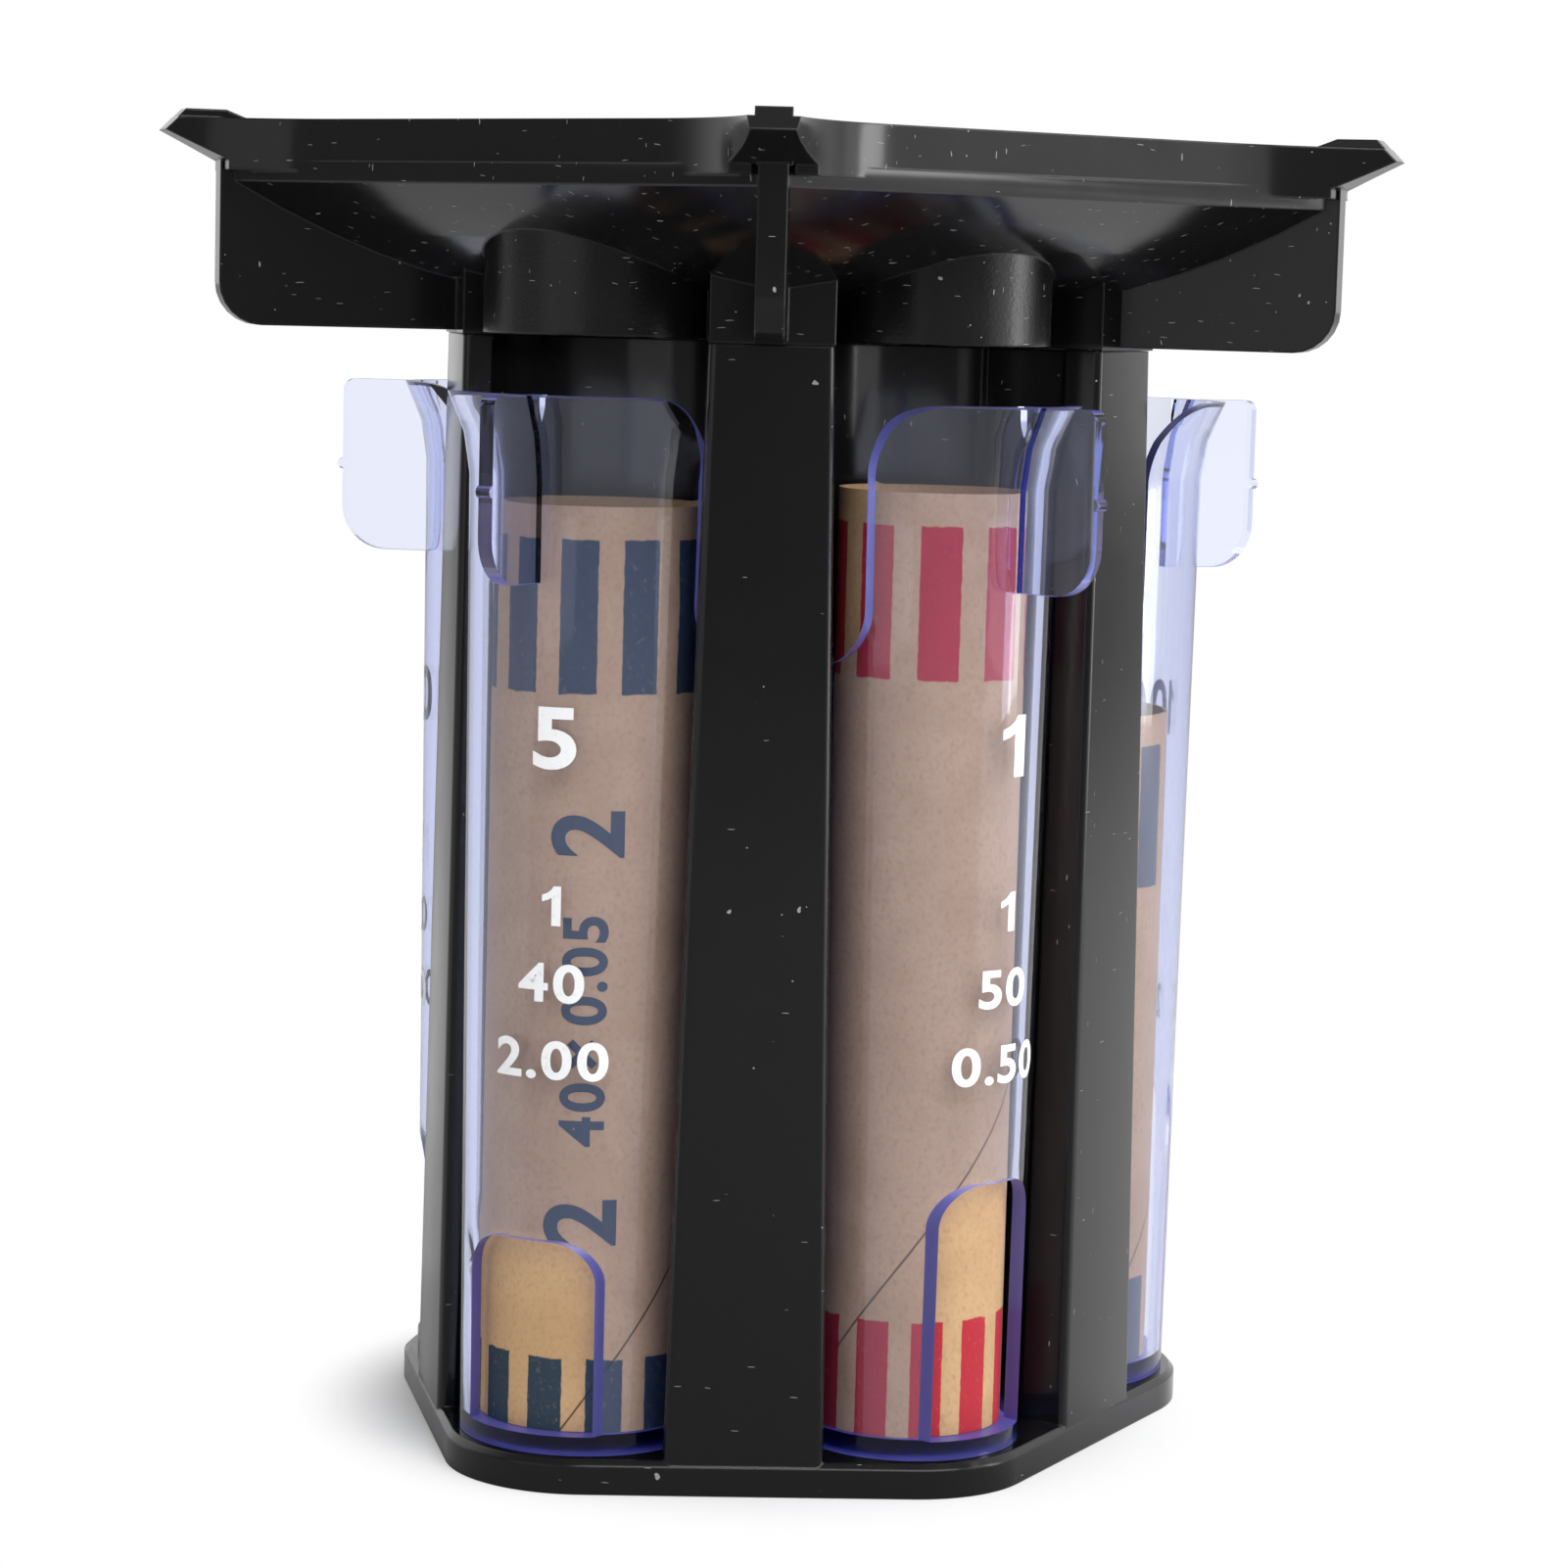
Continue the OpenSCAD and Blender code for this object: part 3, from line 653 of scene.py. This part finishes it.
def flat_number(text, height, upright):
    """A number as a thin flat plate, centred, with its figures of the given height."""
    shape = bmesh.new()
    pen = 0.0
    for character in text:
        if character == " ":
            pen += WORD_GAP
            continue
        curve = figure(character)
        writer = bpy.data.objects.new("figure", curve)
        bpy.context.scene.collection.objects.link(writer)
        evaluated = writer.evaluated_get(bpy.context.evaluated_depsgraph_get())
        mesh = bpy.data.meshes.new_from_object(evaluated)
        start = min(v.co.x for v in mesh.vertices)
        width = max(v.co.x for v in mesh.vertices) - start
        mesh.transform(Matrix.Translation((pen - start, 0, 0)))
        shape.from_mesh(mesh)
        pen += width + FIGURE_GAP
        bpy.data.objects.remove(writer)
        bpy.data.curves.remove(curve)
        bpy.data.meshes.remove(mesh)
    bmesh.ops.remove_doubles(shape, verts=shape.verts, dist=FIGURE_WELD)
    xs = [v.co.x for v in shape.verts]
    ys = [v.co.y for v in shape.verts]
    size = height / (max(ys) - min(ys))
    middle = Vector(((max(xs) + min(xs)) / 2, (max(ys) + min(ys)) / 2, 0))
    turn = Matrix.Identity(3) if upright else Matrix.Rotation(math.radians(90), 3, "Z")
    for vert in shape.verts:
        flat = turn @ ((vert.co - middle) * size)
        vert.co = Vector((flat.x, flat.y, math.copysign(INK_HALF, vert.co.z)))
    bmesh.ops.triangulate(shape, faces=shape.faces)
    for _ in range(SPLIT_PASSES):
        long_edges = [edge for edge in shape.edges if edge.calc_length() > LONGEST_EDGE]
        bmesh.ops.subdivide_edges(shape, edges=long_edges, cuts=1, use_grid_fill=False)
    bmesh.ops.triangulate(shape, faces=shape.faces)
    return shape


def bent_numbers(name, coin, rows, node, facing, material):
    """Rows of numbers laid on the round wall of a node, as one piece."""
    axis, radius = axis_of(coin)
    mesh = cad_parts[node].data
    corners = [v.co for v in mesh.vertices]
    wall = BVHTree.FromPolygons(corners, [tuple(face.vertices) for face in mesh.polygons])
    joined = bmesh.new()
    for text, height, z, upright in rows:
        shape = flat_number(text, height, upright)
        for vert in shape.verts:
            turn = math.radians(facing) + vert.co.x / radius
            out = Vector((math.cos(turn), math.sin(turn), 0))
            level = Vector((axis.x, axis.y, z + vert.co.y))
            hit = wall.ray_cast(level + out * 2 * radius, -out)[0]
            if hit is None:
                raise RuntimeError(f"{name}: no wall under the number {text}")
            vert.co = hit + out * (INK_LIFT + vert.co.z)
        part = bpy.data.meshes.new("number")
        shape.to_mesh(part)
        shape.free()
        joined.from_mesh(part)
        bpy.data.meshes.remove(part)
    bmesh.ops.recalc_face_normals(joined, faces=joined.faces)
    made = bpy.data.meshes.new(name)
    joined.to_mesh(made)
    joined.free()
    made.materials.append(material)
    piece = bpy.data.objects.new(name, made)
    bpy.context.scene.collection.objects.link(piece)
    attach(piece, f"{coin}_set")


class COINUNIT_OT_mouldings(Operator):
    """Give the stand and the tray their black plastic"""
    bl_idname = "coin_unit.mouldings"
    bl_label = "Dress the mouldings"

    def execute(self, context):
        settings = context.scene.coin_mouldings
        dress("tower", black_plastic("stand_black_plastic", settings, settings.stand_clean, False))
        dress("funnel_tray", black_plastic("tray_black_plastic", settings, settings.tray_clean, True))
        shade(MOULDINGS, settings.smooth_angle)
        return {"FINISHED"}


class COINUNIT_OT_tubes(Operator):
    """Give the tubes their clear plastic and their printed numbers"""
    bl_idname = "coin_unit.tubes"
    bl_label = "Dress the tubes"

    def execute(self, context):
        settings = context.scene.coin_tubes
        ink = printing_ink("tube_print", settings.ink)
        for coin in COINS:
            node = f"{coin}_tube"
            dress(node, clear_plastic(coin, settings))
            head, *rest = TUBE_NUMBERS[coin]
            rows = [(head, settings.head_height, settings.head_z, True)]
            for k, text in enumerate(rest):
                rows.append((text, settings.row_height, settings.row_z - k * settings.row_step, True))
            bent_numbers(f"{coin}_tube_numbers", coin, rows, node, TUBE_AZ[coin] + TUBE_PRINT_TURN[coin], ink)
        shade([f"{coin}_tube" for coin in COINS], context.scene.coin_mouldings.smooth_angle)
        return {"FINISHED"}


class COINUNIT_OT_wrappers(Operator):
    """Give the wrappers their paper, bars and printed numbers"""
    bl_idname = "coin_unit.wrappers"
    bl_label = "Dress the wrappers"

    def execute(self, context):
        settings = context.scene.coin_wrappers
        for coin in COINS:
            node = f"{coin}_wrapper"
            ink = getattr(settings, f"{coin}_ink")
            dress(node, kraft_paper(coin, settings, ink))
            low, line, high = WRAPPER_NUMBERS[coin]
            rows = (
                (low, settings.sum_height, settings.low_sum_z, False),
                (line, settings.line_height, settings.line_z, False),
                (high, settings.sum_height, settings.high_sum_z, False),
            )
            facing = TUBE_AZ[coin] + WRAPPER_PRINT_TURN[coin]
            bent_numbers(f"{coin}_wrapper_numbers", coin, rows, node, facing, printing_ink(f"{coin}_ink", ink))
        shade([f"{coin}_wrapper" for coin in COINS], context.scene.coin_mouldings.smooth_angle)
        return {"FINISHED"}


def pale_floor(settings):
    """Round floor that keeps the shadow near the stand and turns into the white surroundings further out."""
    shape = bmesh.new()
    bmesh.ops.create_circle(shape, cap_ends=True, segments=FLOOR_SEGMENTS, radius=settings.floor_radius)
    mesh = bpy.data.meshes.new("floor")
    shape.to_mesh(mesh)
    shape.free()
    floor = bpy.data.objects.new("floor", mesh)
    floor.location.z = -FLOOR_DROP
    bpy.context.scene.collection.objects.link(floor)
    finish = Finish("pale_floor")
    place = finish.place()
    span = finish.vector("LENGTH", place, result="Value")
    far = finish.ramp(span, settings.fade_start, settings.fade_end)
    ray = finish.tree.nodes.new("ShaderNodeLightPath")
    parts = finish.node("ShaderNodeSeparateXYZ", {0: place})
    aside = finish.maths("MULTIPLY", finish.maths("ABSOLUTE", parts.outputs["X"]), MIRROR_ASIDE)
    depth = finish.maths("ADD", parts.outputs["Y"], aside)
    mirrored = finish.blend(finish.ramp(depth, *MIRROR_FADE), colour(settings.floor_gloss), colour(settings.floor))
    tone = finish.blend(ray.outputs["Is Glossy Ray"], colour(settings.floor), mirrored)
    near = finish.node("ShaderNodeBsdfDiffuse", {"Color": tone})
    white = finish.node("ShaderNodeEmission", {"Color": WHITE, "Strength": 1.0})
    seen = finish.maths("MAXIMUM", ray.outputs["Is Camera Ray"], ray.outputs["Is Transmission Ray"])
    share = finish.maths("MULTIPLY", far, seen)
    mixed = finish.node("ShaderNodeMixShader", {0: share, 1: near.outputs["BSDF"], 2: white.outputs["Emission"]})
    finish.surface(mixed.outputs[0])
    mesh.materials.append(finish.material)


def white_surroundings(settings):
    """White to the eye and through clear plastic, darker towards the viewer in gloss, a plain level as light."""
    world = bpy.data.worlds.new("white_surroundings")
    world.use_nodes = True
    bpy.context.scene.world = world
    tree = world.node_tree
    tree.nodes.clear()
    way = tree.nodes.new("ShaderNodeTexCoord")
    parts = tree.nodes.new("ShaderNodeSeparateXYZ")
    depth = tree.nodes.new("ShaderNodeMapRange")
    depth.interpolation_type = "SMOOTHSTEP"
    depth.inputs["From Min"].default_value = SKY_FADE[0]
    depth.inputs["From Max"].default_value = SKY_FADE[1]
    depth.inputs["To Min"].default_value = settings.front_glow
    depth.inputs["To Max"].default_value = 1.0
    ray = tree.nodes.new("ShaderNodeLightPath")
    seen = tree.nodes.new("ShaderNodeMath")
    seen.operation = "MAXIMUM"
    gloss = tree.nodes.new("ShaderNodeMix")
    gloss.inputs["A"].default_value = settings.ambient
    level = tree.nodes.new("ShaderNodeMix")
    level.inputs["B"].default_value = 1.0
    sky = tree.nodes.new("ShaderNodeBackground")
    sky.inputs["Color"].default_value = WHITE
    output = tree.nodes.new("ShaderNodeOutputWorld")
    link = tree.links.new
    link(way.outputs["Generated"], parts.inputs[0])
    link(parts.outputs["Y"], depth.inputs["Value"])
    link(ray.outputs["Is Glossy Ray"], gloss.inputs["Factor"])
    link(depth.outputs["Result"], gloss.inputs["B"])
    link(ray.outputs["Is Camera Ray"], seen.inputs[0])
    link(ray.outputs["Is Transmission Ray"], seen.inputs[1])
    link(seen.outputs[0], level.inputs["Factor"])
    link(gloss.outputs["Result"], level.inputs["A"])
    link(level.outputs["Result"], sky.inputs["Strength"])
    link(sky.outputs["Background"], output.inputs["Surface"])


def soft_lamps():
    for name, (spot, aim, width, height, power) in LAMPS.items():
        lamp = bpy.data.lights.new(name, "AREA")
        lamp.shape = "RECTANGLE"
        lamp.size = width
        lamp.size_y = height
        lamp.energy = power
        holder = bpy.data.objects.new(name, lamp)
        holder.location = spot
        holder.rotation_euler = (Vector(aim) - Vector(spot)).to_track_quat("-Z", "Y").to_euler()
        bpy.context.scene.collection.objects.link(holder)


def photo_camera(settings):
    """Camera at the viewing angle, with its aim worked out from yaw, pitch and roll."""
    yaw, pitch, roll = settings.camera_yaw, settings.camera_pitch, settings.camera_roll
    ahead = Vector((math.sin(yaw) * math.cos(pitch), math.cos(yaw) * math.cos(pitch), math.sin(pitch)))
    level = ahead.cross(Vector((0, 0, 1))).normalized()
    upright = level.cross(ahead)
    right = level * math.cos(roll) + upright * math.sin(roll)
    up = upright * math.cos(roll) - level * math.sin(roll)
    turn = Matrix.Rotation(settings.camera_turn, 4, "Z")
    pose = Matrix((right, up, -ahead)).transposed().to_4x4()
    pose.translation = Vector((0, -settings.camera_distance, settings.camera_height))
    lens = bpy.data.cameras.new("camera")
    lens.sensor_fit = "HORIZONTAL"
    lens.sensor_width = SENSOR_WIDTH
    lens.lens = settings.camera_lens
    lens.clip_start, lens.clip_end = CLIP
    camera = bpy.data.objects.new("camera", lens)
    camera.matrix_world = turn @ pose
    bpy.context.scene.collection.objects.link(camera)
    bpy.context.scene.camera = camera


class COINUNIT_OT_stage(Operator):
    """Make the pale floor, the soft light and the camera"""
    bl_idname = "coin_unit.stage"
    bl_label = "Set the stage"

    def execute(self, context):
        settings = context.scene.coin_stage
        context.scene.view_settings.view_transform = "Standard"
        pale_floor(settings)
        white_surroundings(settings)
        soft_lamps()
        photo_camera(settings)
        return {"FINISHED"}


class COINUNIT_PT_panel(Panel):
    """Sizes, colours and steps of the coin sorting unit"""
    bl_idname = "COINUNIT_PT_panel"
    bl_label = "Coin unit"
    bl_space_type = "VIEW_3D"
    bl_region_type = "UI"
    bl_category = "Coin unit"

    def draw(self, context):
        for operator, name, _ in SECTIONS:
            box = self.layout.box()
            settings = getattr(context.scene, name)
            for key in settings.bl_rna.properties.keys():
                if key not in ("rna_type", "name"):
                    box.prop(settings, key)
            box.operator(operator.bl_idname)


SECTIONS = (
    (COINUNIT_OT_mouldings, "coin_mouldings", MouldingSettings),
    (COINUNIT_OT_wrappers, "coin_wrappers", WrapperSettings),
    (COINUNIT_OT_tubes, "coin_tubes", TubeSettings),
    (COINUNIT_OT_stage, "coin_stage", StageSettings),
)


def register():
    for operator, name, settings in SECTIONS:
        bpy.utils.register_class(settings)
        bpy.utils.register_class(operator)
        setattr(bpy.types.Scene, name, PointerProperty(type=settings))
    bpy.utils.register_class(COINUNIT_PT_panel)


def unregister():
    bpy.utils.unregister_class(COINUNIT_PT_panel)
    for operator, name, settings in reversed(SECTIONS):
        delattr(bpy.types.Scene, name)
        bpy.utils.unregister_class(operator)
        bpy.utils.unregister_class(settings)


def main():
    register()
    bpy.ops.coin_unit.stage()
    bpy.ops.coin_unit.mouldings()
    bpy.ops.coin_unit.wrappers()
    bpy.ops.coin_unit.tubes()


if __name__ == "__main__":
    main()
